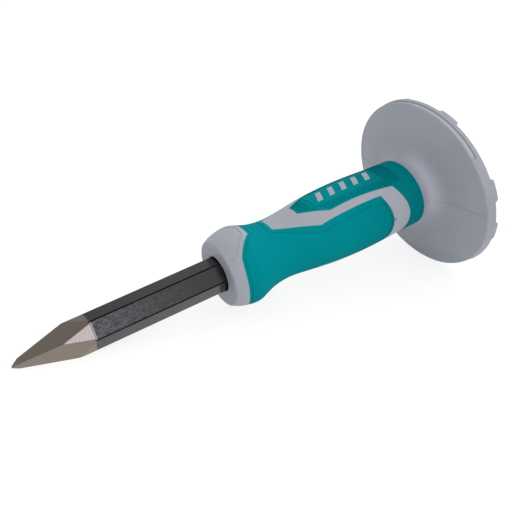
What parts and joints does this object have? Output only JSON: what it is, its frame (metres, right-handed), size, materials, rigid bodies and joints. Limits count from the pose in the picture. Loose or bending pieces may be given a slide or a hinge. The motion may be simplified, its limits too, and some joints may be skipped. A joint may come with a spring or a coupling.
{
  "type": "pointed masonry chisel with hand guard",
  "caption": "Pointed hexagon-bar masonry chisel with a two-colour moulded grip and a round hand guard in front of the struck end.",
  "frame": {"origin": "the working point, the very tip of the bar, on the tool's axis", "axes": "+X from the point along the bar to the struck end, +Z through the middle of the upper panel of the grip, Y across the mould's parting"},
  "size_m": [0.25, 0.0957, 0.0956],
  "materials": {
    "lacquered_steel": "semi-gloss black lacquer over forged and rolled tool steel, bare ground steel at the point",
    "grey_plastic": "fine-grained matt light grey moulded plastic",
    "teal_rubber": "soft matt teal overmoulded elastomer with a fine grain and a ring-bump texture on the panels"
  },
  "bodies": {
    "root": {"chisel_bar": "lacquered_steel", "grip_body": "grey_plastic", "front_overmould": "teal_rubber", "rear_overmould": "teal_rubber"}
  },
  "joints": []
}
